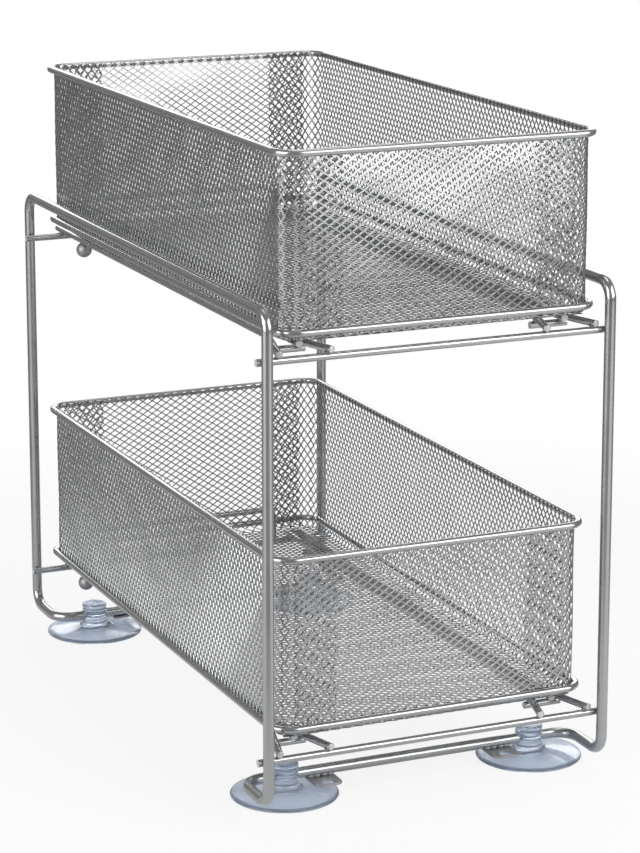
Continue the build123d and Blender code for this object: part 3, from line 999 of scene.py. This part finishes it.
class BASKET_OT_stage(bpy.types.Operator):
    """Sets the pale floor, the soft lamps, the surroundings and the camera"""

    bl_idname = "cabinet_basket.stage"
    bl_label = "Stage"

    def execute(self, context):
        stage = context.scene.basket_stage
        scene = context.scene
        scene.view_settings.view_transform = "Standard"
        floor = open_piece("studio_floor")
        bpy.ops.mesh.primitive_circle_add(
            vertices=96, radius=FLOOR_RADIUS, fill_type="NGON", location=(0, 0, -FLOOR_DROP)
        )
        bpy.ops.object.mode_set(mode="OBJECT")
        finishes = context.scene.basket_finishes
        floor.data.materials.append(painted("white_paper_floor", self.studio_floor, finishes))
        self.surround(scene, stage)
        for name, (place, wide, tall, power) in LAMPS.items():
            lamp = bpy.data.lights.new(name, "AREA")
            lamp.shape = "RECTANGLE"
            lamp.size = wide
            lamp.size_y = tall
            lamp.energy = getattr(stage, power)
            holder = bpy.data.objects.new(name, lamp)
            scene.collection.objects.link(holder)
            holder.location = place
            holder.visible_camera = False
            holder.rotation_euler = (LAMP_AIM - Vector(place)).to_track_quat("-Z", "Y").to_euler()
        self.camera(scene, stage)
        return {"FINISHED"}

    def studio_floor(self, tree, place, finishes):
        """Matt white paper on a grey painted floor, with two pools of light painted onto the grey.

        The eye sees it as white, with a soft shadow. What it gives the basket is its mirror
        image: grey in the wires and the mesh, with bright bands from the paper and the painted
        light pools.
        """
        away = add_node(tree, "ShaderNodeVectorMath", {0: place}, operation="LENGTH")
        far = away.outputs["Value"]
        soft = {"interpolation_type": "SMOOTHSTEP"}
        fading = dict(zip(SPAN, (far, *SHADOW_SHARE)))
        fade = add_node(tree, "ShaderNodeMapRange", fading, **soft)
        paths = add_node(tree, "ShaderNodeLightPath")
        seen = add_node(
            tree,
            "ShaderNodeMath",
            {0: paths.outputs["Is Camera Ray"], 1: paths.outputs["Is Transmission Ray"]},
            operation="MAXIMUM",
        )
        weight = add_node(
            tree,
            "ShaderNodeMath",
            {0: fade.outputs["Result"], 1: seen.outputs["Value"]},
            operation="MULTIPLY",
        )
        beyond = add_node(tree, "ShaderNodeMapRange", dict(zip(SPAN, (far, *PAPER_EDGE))), **soft)
        dull = beyond.outputs["Result"]
        level = add_node(tree, "ShaderNodeVectorMath", {0: place}, operation="NORMALIZE")
        # painted light: the grey floor is kept pale in these directions, so the metal mirrors them
        # as bright bands
        for azimuth in PAINTED_LIGHT_POOL_AZIMUTHS:
            facing = add_node(
                tree,
                "ShaderNodeVectorMath",
                {0: level.outputs["Vector"], 1: (math.sin(azimuth), -math.cos(azimuth), 0)},
                operation="DOT_PRODUCT",
            )
            painted_pool = (facing.outputs["Value"], math.cos(PAINTED_LIGHT_POOL_INSIDE), math.cos(PAINTED_LIGHT_POOL_OUTSIDE))
            outside_painted_pool = add_node(tree, "ShaderNodeMapRange", dict(zip(SPAN, painted_pool)), **soft)
            duller = {0: dull, 1: outside_painted_pool.outputs["Result"]}
            dull = add_node(tree, "ShaderNodeMath", duller, operation="MULTIPLY").outputs["Value"]
        shade = add_node(
            tree,
            "ShaderNodeMix",
            {"Factor": dull, 6: finishes.floor[:], 7: finishes.floor_beyond[:]},
            data_type="RGBA",
        )
        paper = add_node(tree, "ShaderNodeBsdfDiffuse", {"Color": shade.outputs[2]})
        glow = add_node(tree, "ShaderNodeEmission", {"Color": (1, 1, 1, 1), "Strength": 1.0})
        return add_node(
            tree,
            "ShaderNodeMixShader",
            {"Fac": weight.outputs["Value"], 1: paper.outputs["BSDF"], 2: glow.outputs["Emission"]},
        ).outputs["Shader"]

    def surround(self, scene, stage):
        """Grey surroundings that light the basket, and a background that the eye sees as white."""
        world = bpy.data.worlds.new("studio_surroundings")
        scene.world = world
        world.use_nodes = True
        tree = world.node_tree
        tree.nodes.clear()
        paths = add_node(tree, "ShaderNodeLightPath")
        gloss = add_node(
            tree,
            "ShaderNodeMath",
            {0: paths.outputs["Is Glossy Ray"], 1: stage.mirrored},
            operation="MULTIPLY",
        )
        clear = add_node(
            tree,
            "ShaderNodeMath",
            {0: paths.outputs["Is Camera Ray"], 1: paths.outputs["Transmission Depth"]},
            operation="ADD",
            use_clamp=True,
        )
        seen = add_node(
            tree,
            "ShaderNodeMath",
            {0: clear.outputs["Value"], 1: gloss.outputs["Value"]},
            operation="MAXIMUM",
        ).outputs["Value"]
        shades = [
            add_node(tree, "ShaderNodeBackground", {"Color": (grey, grey, grey, 1)})
            for grey in (stage.around, 1)
        ]
        room, white = (shade.outputs["Background"] for shade in shades)
        mixed = add_node(tree, "ShaderNodeMixShader", {"Fac": seen, 1: room, 2: white})
        add_node(tree, "ShaderNodeOutputWorld", {"Surface": mixed.outputs["Shader"]})

    def camera(self, scene, stage):
        """The camera, left of the front and a little above, with its lens shifted down."""
        level = math.cos(CAMERA_ELEVATION)
        back = Vector(
            (
                math.sin(CAMERA_AZIMUTH) * level,
                -math.cos(CAMERA_AZIMUTH) * level,
                math.sin(CAMERA_ELEVATION),
            )
        )
        camera = bpy.data.cameras.new("camera")
        camera.lens = stage.lens
        camera.shift_y = CAMERA_SHIFT
        holder = bpy.data.objects.new("camera", camera)
        scene.collection.objects.link(holder)
        holder.location = CAMERA_AIM + back * CAMERA_DISTANCE
        holder.rotation_euler = (-back).to_track_quat("-Z", "Y").to_euler()
        scene.camera = holder


class BASKET_PT_pieces(bpy.types.Panel):
    """The basket's pieces and their settings"""

    bl_idname = "BASKET_PT_pieces"
    bl_label = "Two-tier basket"
    bl_space_type = "VIEW_3D"
    bl_region_type = "UI"
    bl_category = "Basket"

    def draw(self, context):
        layout = self.layout
        for operator in OPERATORS:
            layout.operator(operator.bl_idname)
        for group in GROUPS:
            box = layout.box()
            for name in GROUPS[group].__annotations__:
                box.prop(getattr(context.scene, group), name)


GROUPS = {
    "basket_wires": BasketWireSizes,
    "basket_mesh": BasketMeshSizes,
    "basket_cups": BasketCupSizes,
    "basket_tabs": BasketTabSizes,
    "basket_finishes": BasketFinishes,
    "basket_stage": BasketStage,
}

OPERATORS = (
    BASKET_OT_frame_wires,
    BASKET_OT_cross_bars,
    BASKET_OT_rails,
    BASKET_OT_stop_loops,
    BASKET_OT_screw_tabs,
    BASKET_OT_suction_cups,
    BASKET_OT_mesh_trays,
    BASKET_OT_rims,
    BASKET_OT_runners,
    BASKET_OT_weld_beads,
    BASKET_OT_stage,
)


def register():
    for group in GROUPS.values():
        bpy.utils.register_class(group)
    for name, group in GROUPS.items():
        setattr(bpy.types.Scene, name, PointerProperty(type=group))
    for operator in OPERATORS:
        bpy.utils.register_class(operator)
    bpy.utils.register_class(BASKET_PT_pieces)


def unregister():
    bpy.utils.unregister_class(BASKET_PT_pieces)
    for operator in reversed(OPERATORS):
        bpy.utils.unregister_class(operator)
    for name in GROUPS:
        delattr(bpy.types.Scene, name)
    for group in reversed(list(GROUPS.values())):
        bpy.utils.unregister_class(group)


def main():
    register()
    bpy.ops.cabinet_basket.frame_wires()
    bpy.ops.cabinet_basket.cross_bars()
    bpy.ops.cabinet_basket.rails()
    bpy.ops.cabinet_basket.stop_loops()
    bpy.ops.cabinet_basket.screw_tabs()
    bpy.ops.cabinet_basket.suction_cups()
    bpy.ops.cabinet_basket.mesh_trays()
    bpy.ops.cabinet_basket.rims()
    bpy.ops.cabinet_basket.runners()
    bpy.ops.cabinet_basket.weld_beads()
    bpy.ops.cabinet_basket.stage()


if __name__ == "__main__":
    main()
